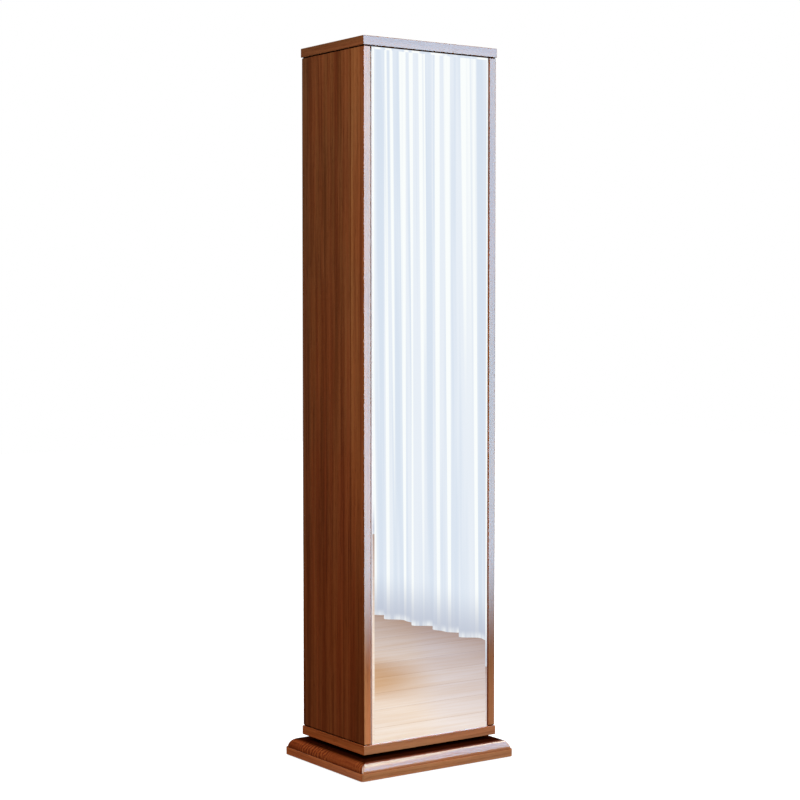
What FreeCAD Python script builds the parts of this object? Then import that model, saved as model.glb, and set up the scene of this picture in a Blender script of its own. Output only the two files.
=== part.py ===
import FreeCAD, Part
import math
import os

# Revolving wardrobe cabinet: a slim open-backed carcass with a full-length mirror on its front.
# It turns without limit on a ball-bearing ring that lies between its bottom board and a moulded
# base. Coat hooks and shelves are reached from the side opposite the mirror.
# Millimetres. The origin is on the floor on the turning axis, +Z is up, +X runs along the
# mirror's width, the mirror faces -Y and the storage side faces +Y.

# ---------------------------------------------------------------- driving dimensions
# Carcass boards
carcass_width = 360.0
carcass_depth = 253.0
top_board_thickness = 20.0
bottom_board_thickness = 20.0
side_height = 1510.0
side_thickness = 18.0
board_reveal = 1.5            # the top and bottom boards stand out this far past the sides
side_arris_radius = 2.0       # rounding of the sides' edges
board_arris_radius = 1.0      # rounding of the top and bottom boards' edges
shadow_groove_height = 1.5    # groove round each end of a side, next to the board
shadow_groove_depth = 2.5

# Mirror and the board that carries it
mirror_thickness = 4.0
mirror_recess = 0.0           # glass face behind the front edges of the sides
mirror_side_gap = 4.0
mirror_top_gap = 2.5
mirror_bevel_width = 5.0
mirror_bevel_depth = 0.8
tape_thickness = 1.0
tape_width = 25.0
tape_count = 3
tape_end_margin = 30.0
tape_edge_margin = 20.0
backing_thickness = 9.0
housing_depth = 5.0           # grooves that take the four edges of the backing board

# Shelves
shelf_thickness = 16.0
shelf_arris_radius = 1.5
shelf_end_clearance = 1.5
shelf_setback = 3.5           # from the rear edges of the sides
lower_bay_height = 190.0
middle_bay_height = 190.0
hat_bay_height = 234.0
pin_diameter = 5.0
pin_in_side = 9.0
pin_projection = 9.0
pin_flat_depth = 0.7
pin_collar_diameter = 7.5
pin_collar_thickness = 1.2
pin_setback = 32.0            # from the front and rear edges of a shelf
pin_pitch = 32.0              # spare pin holes above and below each shelf

# Coat hooks on their rail
rail_drop = 60.0              # rail's top edge below the hat shelf
rail_thickness = 12.0
rail_margin = 7.0             # rail above and below the hook plates
rail_arris_radius = 2.0
hook_count = 3
hook_end_inset = 59.0         # outer hooks' middles from the ends of the rail
hook_plate_width = 22.0
hook_plate_height = 66.0
hook_plate_thickness = 4.0
hook_plate_arris = 1.2
hook_screw_inset = 6.5        # from the ends of the plate
upper_arm_diameter = 8.0
upper_arm_root = 16.0         # above the plate's middle
upper_arm_lead = 6.0
upper_arm_bend = 16.0
upper_arm_rise = 50.0         # degrees
upper_arm_reach = 34.0
upper_knob_diameter = 12.0
lower_arm_diameter = 7.0
lower_arm_root = 10.0         # below the plate's middle
lower_arm_lead = 14.0
lower_arm_bend = 12.0
lower_arm_rise = 90.0         # degrees
lower_arm_reach = 0.0
lower_knob_diameter = 10.0

# Base
base_side_margin = 27.0       # base past the carcass boards, left and right
base_front_margin = 32.0      # base past the carcass boards, front and back
foot_diameter = 30.0
foot_thickness = 2.0
foot_inset = 34.0
foot_arris = 0.6
plinth_thickness = 17.0
plinth_corner_radius = 8.0
plinth_arris_radius = 1.0
moulding_thickness = 21.0
moulding_ledge = 3.0          # flat ledge between the plinth's edge and the moulding's round
moulding_lean = 5.0           # degrees off upright where the round leaves the ledge
moulding_corner_radius = 5.0  # softening of the mitred corners

# Turntable bearing: two rings side by side with balls between their facing walls
ball_pitch_diameter = 148.0
ball_diameter = 5.0
ball_count = 28
ring_height = 8.5
ring_width = 14.5
ring_stagger = 1.5            # the inner ring stands this much higher than the outer one
ring_gap = 3.0
ring_chamfer = 0.5
ring_hole_count = 6
cage_thickness = 1.4
cage_height = 7.4

# Fasteners
cam_diameter = 15.0
cam_depth = 12.5
cam_distance = 34.0           # cam's centre from the end of the side
cam_setback = 50.0            # from the front and rear edges of the side
cam_slot_width = 1.6
cam_slot_length = 9.0
cam_slot_depth = 2.0
cam_bolt_diameter = 5.0
cam_bolt_in_board = 11.0
cam_bolt_head_diameter = 7.0
cam_bolt_head_length = 3.0
dowel_diameter = 8.0
dowel_in_board = 12.0
dowel_in_side = 20.0
dowel_setback = 28.0          # from the front and rear edges of the side
dowel_chamfer = 1.0
turntable_bolt_diameter = 4.0
turntable_bolt_head_diameter = 8.5
turntable_bolt_head_height = 2.6
turntable_bolt_recess = 4.0   # counterbore in the bottom board
turntable_bolt_bite = 7.0     # thread in the inner ring
wood_screw_diameter = 4.0
wood_screw_head_diameter = 8.0
wood_screw_tip = 4.0
ring_screw_length = 20.0
base_screw_length = 30.0
base_screw_inset = 60.0
rail_screw_length = 18.0
rail_screw_inset = 30.0
hook_screw_diameter = 3.5
hook_screw_head_diameter = 7.0
hook_screw_head_height = 2.2
hook_screw_length = 12.0
driver_slot_width = 1.1
driver_slot_depth = 1.0
driver_slot_share = 0.6       # arm length as a share of the head's diameter
pan_crown_share = 0.6         # flat middle of a pan head as a share of its radius
pan_shoulder_share = 0.5      # upright wall of a pan head as a share of its height

# Clearances
housing_clearance = 0.3       # backing board in its grooves
seat_clearance = 0.3          # pieces that lie close without touching
fit_clearance = 0.1           # fasteners in their holes
running_clearance = 0.2       # balls in their grooves and pockets
length_tolerance = 1e-6       # for telling edges apart

# ---------------------------------------------------------------- worked-out places
V = FreeCAD.Vector
X_AXIS = V(1, 0, 0)
Y_AXIS = V(0, 1, 0)
Z_AXIS = V(0, 0, 1)

plinth_bottom = foot_thickness
moulding_bottom = plinth_bottom + plinth_thickness
base_top = moulding_bottom + moulding_thickness
carcass_bottom = base_top + ring_height + ring_stagger
interior_bottom = carcass_bottom + bottom_board_thickness
interior_top = interior_bottom + side_height

side_depth = carcass_depth - 2 * board_reveal
side_outer_x = carcass_width / 2 - board_reveal
side_inner_x = side_outer_x - side_thickness
side_middle_x = side_outer_x - side_thickness / 2
side_front_y = -side_depth / 2
side_rear_y = side_depth / 2

mirror_front_y = side_front_y + mirror_recess
mirror_back_y = mirror_front_y + mirror_thickness
mirror_half_width = side_inner_x - mirror_side_gap
mirror_top = interior_top - mirror_top_gap
backing_front_y = mirror_back_y + tape_thickness
backing_rear_y = backing_front_y + backing_thickness

shelf_front_y = backing_rear_y + seat_clearance
shelf_rear_y = side_rear_y - shelf_setback
shelf_half_width = side_inner_x - shelf_end_clearance
lower_shelf_z = interior_bottom + lower_bay_height
middle_shelf_z = lower_shelf_z + shelf_thickness + middle_bay_height
hat_shelf_z = interior_top - hat_bay_height - shelf_thickness
shelf_levels = {"shelf_lower": lower_shelf_z, "shelf_middle": middle_shelf_z, "shelf_hat": hat_shelf_z}

rail_top = hat_shelf_z - rail_drop
rail_height = hook_plate_height + 2 * rail_margin
rail_middle_z = rail_top - rail_height / 2
rail_rear_y = backing_rear_y + rail_thickness
hook_screw_offset = hook_plate_height / 2 - hook_screw_inset
outer_hook_x = shelf_half_width - hook_end_inset

base_width = carcass_width + 2 * base_side_margin
base_depth = carcass_depth + 2 * base_front_margin
moulding_radius = moulding_thickness / (1 - math.sin(math.radians(moulding_lean)))

ball_pitch_radius = ball_pitch_diameter / 2
ball_z = base_top + (ring_height + ring_stagger) / 2
outer_ring_inner_r = ball_pitch_radius + ring_gap / 2
inner_ring_outer_r = ball_pitch_radius - ring_gap / 2
inner_ring_bottom = base_top + ring_stagger
outer_hole_r = outer_ring_inner_r + ring_width / 2
inner_hole_r = inner_ring_outer_r - ring_width / 2


# ---------------------------------------------------------------- shape helpers
def block(low, high):
    """A box between two opposite corners."""
    size = [b - a for a, b in zip(low, high)]
    return Part.makeBox(*size, V(*low))


def rod(radius, start, direction, length):
    return Part.makeCylinder(radius, length, start, direction)


def any_edge(edge):
    return True


def rounded(shape, radius, chosen=any_edge):
    """The shape with its chosen edges rounded."""
    return shape.makeFillet(radius, [edge for edge in shape.Edges if chosen(edge)])


def upright(edge):
    return edge.BoundBox.XLength < length_tolerance and edge.BoundBox.YLength < length_tolerance


def level(edge):
    return edge.BoundBox.ZLength < length_tolerance


def sloping(edge):
    return not upright(edge) and not level(edge)


def turned(shape, count, start_angle=0.0):
    """Copies of the shape, evenly spaced about the turning axis."""
    copies = []
    for index in range(count):
        copy = shape.copy()
        copy.rotate(V(0, 0, 0), Z_AXIS, start_angle + index * 360.0 / count)
        copies.append(copy)
    return copies


def revolved(points, start, direction):
    """A solid of revolution from (radius, height) points, standing on start along direction."""
    outline = Part.makePolygon([V(r, 0, h) for r, h in points] + [V(points[0][0], 0, points[0][1])])
    solid = Part.Face(outline).revolve(V(0, 0, 0), Z_AXIS, 360)
    solid.Placement = FreeCAD.Placement(start, FreeCAD.Rotation(Z_AXIS, direction))
    return solid


def group(solids):
    return Part.makeCompound(solids)


def save(node, shape):
    shape.exportStep(os.path.join("parts", node + ".step"))


# ---------------------------------------------------------------- fasteners
def countersunk_screw(head_centre, direction, length, grow=0.0):
    """A wood screw with its flat head level with head_centre. grow makes its clearance hole."""
    shank = wood_screw_diameter / 2 + grow
    head = wood_screw_head_diameter / 2 + grow
    cone = head - shank
    tip = length - wood_screw_tip
    points = [(0, 0), (head, 0), (shank, cone), (shank, tip), (0, length + grow)]
    return revolved(points, head_centre, direction)


def slotted(screw, head_centre, direction, head_diameter, across):
    """The screw with a cross recess in its head. across is one arm's direction."""
    for arm in (across, direction.cross(across)):
        other = direction.cross(arm)
        length = head_diameter * driver_slot_share
        corner = head_centre - arm * (length / 2) - other * (driver_slot_width / 2)
        bar = Part.makeBox(length, driver_slot_width, driver_slot_depth)
        bar.Placement = FreeCAD.Placement(corner, FreeCAD.Rotation(arm, other, direction, "XYZ"))
        screw = screw.cut(bar)
    return screw


def pan_screw(seat, direction, head_diameter, head_height, diameter, length, grow=0.0):
    """A screw whose domed head sits on the seat and whose shank runs along direction."""
    head = head_diameter / 2
    crown = head * pan_crown_share
    shank = diameter / 2 + grow
    shoulder = -head_height * pan_shoulder_share
    points = [(0, -head_height), (crown, -head_height), (head, shoulder), (head, 0), (shank, 0),
              (shank, length + grow), (0, length + grow)]
    return revolved(points, seat, direction)


def side_joints():
    """Each end of each side: the side's sign, the end's height, and the way into the side."""
    for sign in (-1, 1):
        yield sign, interior_bottom, 1
        yield sign, interior_top, -1


def front_and_rear(setback):
    return side_front_y + setback, side_rear_y - setback


def dowel(sign, y, end_z, inward, grow=0.0):
    start = V(sign * side_middle_x, y, end_z - inward * (dowel_in_board + grow))
    length = dowel_in_board + dowel_in_side + 2 * grow
    return rod(dowel_diameter / 2 + grow, start, V(0, 0, inward), length)


def chamfered_dowel(sign, y, end_z, inward):
    peg = dowel(sign, y, end_z, inward)
    return peg.makeChamfer(dowel_chamfer, [edge for edge in peg.Edges if edge.Closed])


def cam_centre(sign, y, end_z, inward):
    return V(sign * side_inner_x, y, end_z + inward * cam_distance)


def cam_bore(sign, y, end_z, inward, grow=0.0):
    centre = cam_centre(sign, y, end_z, inward)
    return rod(cam_diameter / 2 + grow, centre, V(sign, 0, 0), cam_depth + grow)


def cam_bolt(sign, y, end_z, inward, grow=0.0):
    """Connecting bolt from the board to the middle of the cam, with a head that the cam grips."""
    start = V(sign * side_middle_x, y, end_z - inward * (cam_bolt_in_board + grow))
    shank_length = cam_bolt_in_board + cam_distance + grow
    shank = rod(cam_bolt_diameter / 2 + grow, start, V(0, 0, inward), shank_length)
    head_start = V(sign * side_middle_x, y, end_z + inward * (cam_distance - cam_bolt_head_length - grow))
    head_length = cam_bolt_head_length + 2 * grow
    head = rod(cam_bolt_head_diameter / 2 + grow, head_start, V(0, 0, inward), head_length)
    return shank.fuse(head)


def cam_bolt_channel(sign, y, end_z, inward):
    """The way that the bolt's head takes through the end of the side and into the cam."""
    radius = cam_bolt_head_diameter / 2 + fit_clearance
    start = V(sign * side_middle_x, y, end_z)
    return rod(radius, start, V(0, 0, inward), cam_distance + fit_clearance)


def cam_lock(sign, y, end_z, inward):
    body = cam_bore(sign, y, end_z, inward).cut(cam_bolt_channel(sign, y, end_z, inward))
    centre = cam_centre(sign, y, end_z, inward)
    for half_y, half_z in ((cam_slot_length, cam_slot_width), (cam_slot_width, cam_slot_length)):
        reach = V(cam_slot_depth, half_y / 2, half_z / 2)
        body = body.cut(block(centre - reach, centre + reach))
    return body


def each_joint(maker, setback, *more):
    """maker's solid at every side-to-board joint, front and rear."""
    return [maker(sign, y, end_z, inward, *more)
            for sign, end_z, inward in side_joints() for y in front_and_rear(setback)]


# ---------------------------------------------------------------- base
def foot_pads():
    x = base_width / 2 - foot_inset
    y = base_depth / 2 - foot_inset
    pads = []
    for px, py in ((-x, -y), (x, -y), (x, y), (-x, y)):
        pad = rod(foot_diameter / 2, V(px, py, 0), Z_AXIS, foot_thickness)
        rim = [edge for edge in pad.Edges if edge.Closed and edge.CenterOfMass.z < foot_arris]
        pads.append(pad.makeChamfer(foot_arris, rim))
    return group(pads)


def base_screws(grow=0.0):
    x = base_width / 2 - base_screw_inset
    y = base_depth / 2 - base_screw_inset
    places = [V(px, py, plinth_bottom) for px in (-x, 0, x) for py in (-y, y)]
    screws = []
    for place in places:
        screw = countersunk_screw(place, Z_AXIS, base_screw_length, grow)
        if not grow:
            screw = slotted(screw, place, Z_AXIS, wood_screw_head_diameter, X_AXIS)
        screws.append(screw)
    return screws


def base_plinth():
    x, y = base_width / 2, base_depth / 2
    plinth = block((-x, -y, plinth_bottom), (x, y, moulding_bottom))
    plinth = rounded(rounded(plinth, plinth_corner_radius, upright), plinth_arris_radius, level)
    return plinth.cut(group(base_screws(fit_clearance)))


def round_edged_slab(half_width, half_length, turn):
    """A slab whose two long edges are rounded from the ledge to the top. turn is its angle about Z."""
    lean = math.radians(moulding_lean)
    shift = moulding_radius * math.cos(lean)
    low_z = base_top - moulding_radius

    def on_round(side, angle):
        out = half_width - shift + moulding_radius * math.cos(angle)
        return V(side * out, 0, low_z + moulding_radius * math.sin(angle))

    middle = (lean + math.pi / 2) / 2
    right = [on_round(1, angle) for angle in (lean, middle, math.pi / 2)]
    left = [on_round(-1, angle) for angle in (math.pi / 2, middle, lean)]
    edges = [Part.makeLine(left[-1], right[0]), Part.Arc(*right).toShape(),
             Part.makeLine(right[-1], left[0]), Part.Arc(*left).toShape()]
    face = Part.Face(Part.Wire(edges))
    face.translate(V(0, -half_length, 0))
    slab = face.extrude(V(0, 2 * half_length, 0))
    slab.rotate(V(0, 0, 0), Z_AXIS, turn)
    return slab


def base_moulding():
    """Upper base board. Its rounded edges meet in softened mitres at the corners."""
    half_x = base_width / 2 - moulding_ledge
    half_y = base_depth / 2 - moulding_ledge
    board = round_edged_slab(half_x, half_y, 0.0).common(round_edged_slab(half_y, half_x, 90.0))
    board = rounded(board, moulding_corner_radius, sloping)
    return board.cut(group(base_screws(fit_clearance) + ring_screws(fit_clearance)))


# ---------------------------------------------------------------- turntable bearing
def ring_screws(grow=0.0):
    """Screws that hold the outer ring to the base."""
    place = V(outer_hole_r, 0, base_top + ring_height)
    screw = countersunk_screw(place, -Z_AXIS, ring_screw_length, grow)
    if not grow:
        screw = slotted(screw, place, -Z_AXIS, wood_screw_head_diameter, X_AXIS)
    return turned(screw, ring_hole_count)


def turntable_bolts(grow=0.0):
    """Bolts through the bottom board into the inner ring."""
    seat = V(inner_hole_r, 0, interior_bottom - turntable_bolt_recess)
    length = bottom_board_thickness - turntable_bolt_recess + turntable_bolt_bite
    bolt = pan_screw(seat, -Z_AXIS, turntable_bolt_head_diameter, turntable_bolt_head_height,
                     turntable_bolt_diameter, length, grow)
    if not grow:
        crown = seat + Z_AXIS * turntable_bolt_head_height
        bolt = slotted(bolt, crown, -Z_AXIS, turntable_bolt_head_diameter, X_AXIS)
    return turned(bolt, ring_hole_count, 180.0 / ring_hole_count)


def ball_groove():
    return Part.makeTorus(ball_pitch_radius, ball_diameter / 2 + running_clearance, V(0, 0, ball_z), Z_AXIS)


def bearing_ring(inner_r, bottom):
    foot = V(0, 0, bottom)
    ring = rod(inner_r + ring_width, foot, Z_AXIS, ring_height).cut(rod(inner_r, foot, Z_AXIS, ring_height))
    ring = ring.makeChamfer(ring_chamfer, [edge for edge in ring.Edges if edge.Closed])
    return ring.cut(ball_groove())


def bearing_outer_ring():
    return bearing_ring(outer_ring_inner_r, base_top).cut(group(ring_screws(fit_clearance)))


def bearing_inner_ring():
    ring = bearing_ring(inner_ring_outer_r - ring_width, inner_ring_bottom)
    return ring.cut(group(turntable_bolts(fit_clearance)))


def bearing_cage():
    low = V(0, 0, ball_z - cage_height / 2)
    outer = rod(ball_pitch_radius + cage_thickness / 2, low, Z_AXIS, cage_height)
    cage = outer.cut(rod(ball_pitch_radius - cage_thickness / 2, low, Z_AXIS, cage_height))
    pocket_start = V(ball_pitch_radius - cage_thickness, 0, ball_z)
    pocket = rod(ball_diameter / 2 + running_clearance, pocket_start, X_AXIS, 2 * cage_thickness)
    return cage.cut(group(turned(pocket, ball_count)))


def bearing_balls():
    ball = Part.makeSphere(ball_diameter / 2, V(ball_pitch_radius, 0, ball_z))
    return group(turned(ball, ball_count))


# ---------------------------------------------------------------- carcass
def carcass_board(bottom, thickness):
    x, y = carcass_width / 2, carcass_depth / 2
    return rounded(block((-x, -y, bottom), (x, y, bottom + thickness)), board_arris_radius)


def backing_space(grow):
    """The backing board's body. With grow it is the cut that houses the board."""
    reach = housing_depth - housing_clearance + grow
    x = side_inner_x + reach
    low = (-x, backing_front_y - grow / 2, interior_bottom - reach)
    high = (x, backing_rear_y + grow / 2, interior_top + reach)
    return block(low, high)


def joint_holes():
    """Everything that is drilled for the joints between the sides and the two boards."""
    return (each_joint(dowel, dowel_setback, fit_clearance)
            + each_joint(cam_bore, cam_setback, fit_clearance)
            + each_joint(cam_bolt, cam_setback, fit_clearance)
            + each_joint(cam_bolt_channel, cam_setback))


def bottom_board():
    board = carcass_board(carcass_bottom, bottom_board_thickness)
    seat = V(inner_hole_r, 0, interior_bottom - turntable_bolt_recess)
    head_radius = turntable_bolt_head_diameter / 2 + seat_clearance
    counterbore = rod(head_radius, seat, Z_AXIS, turntable_bolt_recess)
    counterbores = turned(counterbore, ring_hole_count, 180.0 / ring_hole_count)
    holes = joint_holes() + turntable_bolts(fit_clearance) + counterbores
    return board.cut(group(holes + [backing_space(housing_clearance)]))


def top_board():
    board = carcass_board(interior_top, top_board_thickness)
    return board.cut(group(joint_holes() + [backing_space(housing_clearance)]))


def side_panel(sign):
    """Upright with rounded edges, and at each end a tongue that stands back to form the shadow groove."""
    body = block((side_inner_x, side_front_y, interior_bottom + shadow_groove_height),
                 (side_outer_x, side_rear_y, interior_top - shadow_groove_height))
    body = rounded(body, side_arris_radius)
    step = shadow_groove_depth
    tongue = block((side_inner_x + step, side_front_y + step, interior_bottom),
                   (side_outer_x - step, side_rear_y - step, interior_top))
    panel = body.fuse(tongue)
    if sign < 0:
        panel = panel.mirror(V(0, 0, 0), X_AXIS)
    return panel.cut(group(joint_holes() + pin_holes() + [backing_space(housing_clearance)]))


def mirror_glass():
    """Float glass with a bevel ground all round its front face."""
    x = mirror_half_width
    shoulder_y = mirror_front_y + mirror_bevel_depth
    plate = block((-x, shoulder_y, interior_bottom), (x, mirror_back_y, mirror_top))

    def outline(inset, y):
        left, right = -x + inset, x - inset
        low, high = interior_bottom + inset, mirror_top - inset
        corners = [V(left, y, low), V(right, y, low), V(right, y, high), V(left, y, high)]
        return Part.makePolygon(corners + corners[:1])

    bevel = Part.makeLoft([outline(0, shoulder_y), outline(mirror_bevel_width, mirror_front_y)], True, True)
    return plate.fuse(bevel).removeSplitter()


def mirror_foam_tape():
    """Upright strips of double-sided tape between the glass and the backing board."""
    span = 2 * (mirror_half_width - tape_edge_margin) - tape_width
    low_z, high_z = interior_bottom + tape_end_margin, mirror_top - tape_end_margin
    strips = []
    for index in range(tape_count):
        middle = -span / 2 + span * index / (tape_count - 1)
        low = (middle - tape_width / 2, mirror_back_y, low_z)
        high = (middle + tape_width / 2, backing_front_y, high_z)
        strips.append(block(low, high))
    return group(strips)


def mirror_backing_board():
    return backing_space(0.0).cut(group(rail_screws(fit_clearance)))


# ---------------------------------------------------------------- shelves
def shelf(bottom):
    low = (-shelf_half_width, shelf_front_y, bottom)
    high = (shelf_half_width, shelf_rear_y, bottom + shelf_thickness)
    return rounded(block(low, high), shelf_arris_radius)


def pin_axes(shift=0.0):
    """Start point and outward sign of every shelf pin, on the inner faces of the sides."""
    drop = pin_diameter / 2 - pin_flat_depth
    for level in shelf_levels.values():
        for sign in (-1, 1):
            for y in (shelf_front_y + pin_setback, shelf_rear_y - pin_setback):
                yield V(sign * side_inner_x, y, level - drop + shift), sign


def pin_holes():
    depth = pin_in_side + fit_clearance
    return [rod(pin_diameter / 2 + fit_clearance, start, V(sign, 0, 0), depth)
            for shift in (-pin_pitch, 0.0, pin_pitch) for start, sign in pin_axes(shift)]


def shelf_pins():
    """Pins with a collar against the side and a flat on which the shelf rests."""
    pins = []
    for start, sign in pin_axes():
        outward = V(sign, 0, 0)
        inner_end = start - outward * pin_projection
        collar_start = start - outward * pin_collar_thickness
        pin = rod(pin_diameter / 2, inner_end, outward, pin_projection + pin_in_side)
        flat_z = start.z + pin_diameter / 2 - pin_flat_depth
        low_x, high_x = sorted((inner_end.x, collar_start.x))
        above = block((low_x, start.y - pin_diameter, flat_z),
                      (high_x, start.y + pin_diameter, flat_z + pin_diameter))
        collar = rod(pin_collar_diameter / 2, collar_start, outward, pin_collar_thickness)
        pins.append(pin.cut(above).fuse(collar))
    return group(pins)


# ---------------------------------------------------------------- coat hooks
def hook_places():
    """Hook middles, evenly spaced between the two outer hooks."""
    spacing = 2 * outer_hook_x / (hook_count - 1)
    return [-outer_hook_x + index * spacing for index in range(hook_count)]


def rail_screws(grow=0.0):
    """Screws from the front of the backing board into the hook rail."""
    x = shelf_half_width - rail_screw_inset
    z = rail_height / 2 - rail_margin
    screws = []
    for px in (-x, x):
        for pz in (rail_middle_z - z, rail_middle_z + z):
            place = V(px, backing_front_y, pz)
            screw = countersunk_screw(place, Y_AXIS, rail_screw_length, grow)
            if not grow:
                screw = slotted(screw, place, Y_AXIS, wood_screw_head_diameter, X_AXIS)
            screws.append(screw)
    return screws


def hook_screws(grow=0.0):
    screws = []
    for x in hook_places():
        for offset in (-hook_screw_offset, hook_screw_offset):
            seat = V(x, rail_rear_y + hook_plate_thickness, rail_middle_z + offset)
            screw = pan_screw(seat, -Y_AXIS, hook_screw_head_diameter, hook_screw_head_height,
                              hook_screw_diameter, hook_screw_length, grow)
            if not grow:
                crown = seat + Y_AXIS * hook_screw_head_height
                screw = slotted(screw, crown, -Y_AXIS, hook_screw_head_diameter, X_AXIS)
            screws.append(screw)
    return screws


def hook_rail():
    low = (-shelf_half_width, backing_rear_y, rail_top - rail_height)
    high = (shelf_half_width, rail_rear_y, rail_top)

    def clear_of_board(edge):
        return edge.CenterOfMass.y > backing_rear_y + seat_clearance

    rail = rounded(block(low, high), rail_arris_radius, clear_of_board)
    return rail.cut(group(rail_screws(fit_clearance) + hook_screws(fit_clearance)))


def bent_arm(root, lead, bend, rise, reach, diameter, knob_diameter):
    """A round arm in the YZ plane: it leads out from root, bends up by rise degrees, ends in a knob."""
    turn = math.radians(rise)
    bend_start = root + Y_AXIS * lead
    centre = bend_start + Z_AXIS * bend

    def on_bend(angle):
        return centre + V(0, bend * math.sin(angle), -bend * math.cos(angle))

    bend_end = on_bend(turn)
    edges = [Part.makeLine(root, bend_start), Part.Arc(bend_start, on_bend(turn / 2), bend_end).toShape()]
    tip = bend_end + V(0, math.cos(turn), math.sin(turn)) * reach
    if reach > 0:
        edges.append(Part.makeLine(bend_end, tip))
    section = Part.Wire([Part.makeCircle(diameter / 2, root, Y_AXIS)])
    arm = Part.Wire(edges).makePipeShell([section], True, True)
    return arm.fuse(Part.makeSphere(knob_diameter / 2, tip))


def coat_hook(x):
    """Double hook: an oval-ended plate with a long upper arm and a short lower one."""
    centre = V(x, rail_rear_y, rail_middle_z)
    end_radius = hook_plate_width / 2
    half_straight = hook_plate_height / 2 - end_radius
    plate = block((x - end_radius, rail_rear_y, rail_middle_z - half_straight),
                  (x + end_radius, rail_rear_y + hook_plate_thickness, rail_middle_z + half_straight))
    for side in (-half_straight, half_straight):
        plate = plate.fuse(rod(end_radius, centre + Z_AXIS * side, Y_AXIS, hook_plate_thickness))

    def on_face(edge):
        return edge.BoundBox.YMin > rail_rear_y + seat_clearance

    plate = rounded(plate.removeSplitter(), hook_plate_arris, on_face)
    inside = hook_plate_thickness / 2
    root = centre + Y_AXIS * inside
    upper = bent_arm(root + Z_AXIS * upper_arm_root, upper_arm_lead + inside, upper_arm_bend,
                     upper_arm_rise, upper_arm_reach, upper_arm_diameter, upper_knob_diameter)
    lower = bent_arm(root - Z_AXIS * lower_arm_root, lower_arm_lead + inside, lower_arm_bend,
                     lower_arm_rise, lower_arm_reach, lower_arm_diameter, lower_knob_diameter)
    hook = plate.fuse([upper, lower])
    return hook.cut(group(hook_screws(fit_clearance)))


# ---------------------------------------------------------------- the whole cabinet
def main():
    os.makedirs("parts", exist_ok=True)
    save("foot_pads", foot_pads())
    save("base_plinth", base_plinth())
    save("base_moulding", base_moulding())
    save("base_board_screws", group(base_screws()))
    save("bearing_outer_ring", bearing_outer_ring())
    save("bearing_ring_screws", group(ring_screws()))
    save("bearing_cage", bearing_cage())
    save("bearing_balls", bearing_balls())
    save("bearing_inner_ring", bearing_inner_ring())
    save("turntable_bolts", group(turntable_bolts()))
    save("bottom_board", bottom_board())
    save("top_board", top_board())
    save("side_panel_left", side_panel(-1))
    save("side_panel_right", side_panel(1))
    save("mirror_glass", mirror_glass())
    save("mirror_foam_tape", mirror_foam_tape())
    save("mirror_backing_board", mirror_backing_board())
    for node, level in shelf_levels.items():
        save(node, shelf(level))
    save("shelf_pins", shelf_pins())
    save("cam_locks", group(each_joint(cam_lock, cam_setback)))
    save("cam_bolts", group(each_joint(cam_bolt, cam_setback)))
    save("panel_dowels", group(each_joint(chamfered_dowel, dowel_setback)))
    save("hook_rail", hook_rail())
    save("hook_rail_screws", group(rail_screws()))
    for index, x in enumerate(hook_places(), start=1):
        save(f"coat_hook_{index}", coat_hook(x))
    save("hook_screws", group(hook_screws()))


main()
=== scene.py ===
import math

import bmesh
import bpy
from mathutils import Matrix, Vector


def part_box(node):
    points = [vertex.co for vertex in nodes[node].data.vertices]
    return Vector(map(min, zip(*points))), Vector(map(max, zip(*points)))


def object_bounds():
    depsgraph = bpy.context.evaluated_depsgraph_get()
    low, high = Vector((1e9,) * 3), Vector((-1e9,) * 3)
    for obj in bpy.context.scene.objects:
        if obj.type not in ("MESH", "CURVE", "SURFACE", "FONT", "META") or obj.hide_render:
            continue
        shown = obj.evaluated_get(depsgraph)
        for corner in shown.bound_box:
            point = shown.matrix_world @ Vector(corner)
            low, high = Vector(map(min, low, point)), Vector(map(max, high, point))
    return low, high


# Revolving wardrobe cabinet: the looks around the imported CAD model.
# Metres, in the row frame: +Z is up, the mirror faces -Y, the open storage side faces +Y.

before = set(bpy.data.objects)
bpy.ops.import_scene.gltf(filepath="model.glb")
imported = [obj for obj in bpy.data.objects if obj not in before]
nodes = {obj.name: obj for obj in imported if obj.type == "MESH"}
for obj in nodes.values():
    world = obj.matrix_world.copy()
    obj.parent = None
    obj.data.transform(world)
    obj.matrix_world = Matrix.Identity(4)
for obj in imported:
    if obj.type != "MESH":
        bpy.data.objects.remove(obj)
cad_low, cad_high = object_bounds()
glass_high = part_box("mirror_glass")[1]
plinth_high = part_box("base_plinth")[1]
moulding_low, moulding_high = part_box("base_moulding")
side_low, side_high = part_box("side_panel_left")

# ---------------------------------------------------------------- camera
CAMERA_PLACE = (-2.3715, -3.4010, 1.0045)
CAMERA_TILT_DOWN = math.radians(2.656)
CAMERA_TURN = math.radians(-34.923)
CAMERA_LENS = 82.627

# ---------------------------------------------------------------- walnut
# Colours of the figure from its dark streaks to its light ones. Broad faces are deep red-brown
# veneer; edges that look forward or back are paler.
DEEP_VENEER = ((0.40, (0.120, 0.023, 0.005, 1.0)), (0.56, (0.222, 0.050, 0.012, 1.0)),
               (0.74, (0.330, 0.090, 0.024, 1.0)))
PALE_EDGE = ((0.40, (0.270, 0.090, 0.030, 1.0)), (0.56, (0.400, 0.150, 0.055, 1.0)),
             (0.74, (0.520, 0.220, 0.090, 1.0)))
WARM_CLOUD = (1.12, 0.88, 0.72, 1.0)
RED_DRIFT = (1.03, 0.95, 0.96, 1.0)
OLIVE_DRIFT = (0.97, 1.04, 1.03, 1.0)
# Painted shade: the dark colour put in seams and recesses where shade falls.
PAINTED_SHADE_TONE = (0.13, 0.10, 0.09, 1.0)
# Painted light: the pale strips of the backing board that lighten the gaps beside the mirror.
PAINTED_RIM_LIGHT = (0.90, 0.86, 0.85, 1.0)
AXIS_OF = {"x": 0, "y": 1, "z": 2}

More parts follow.
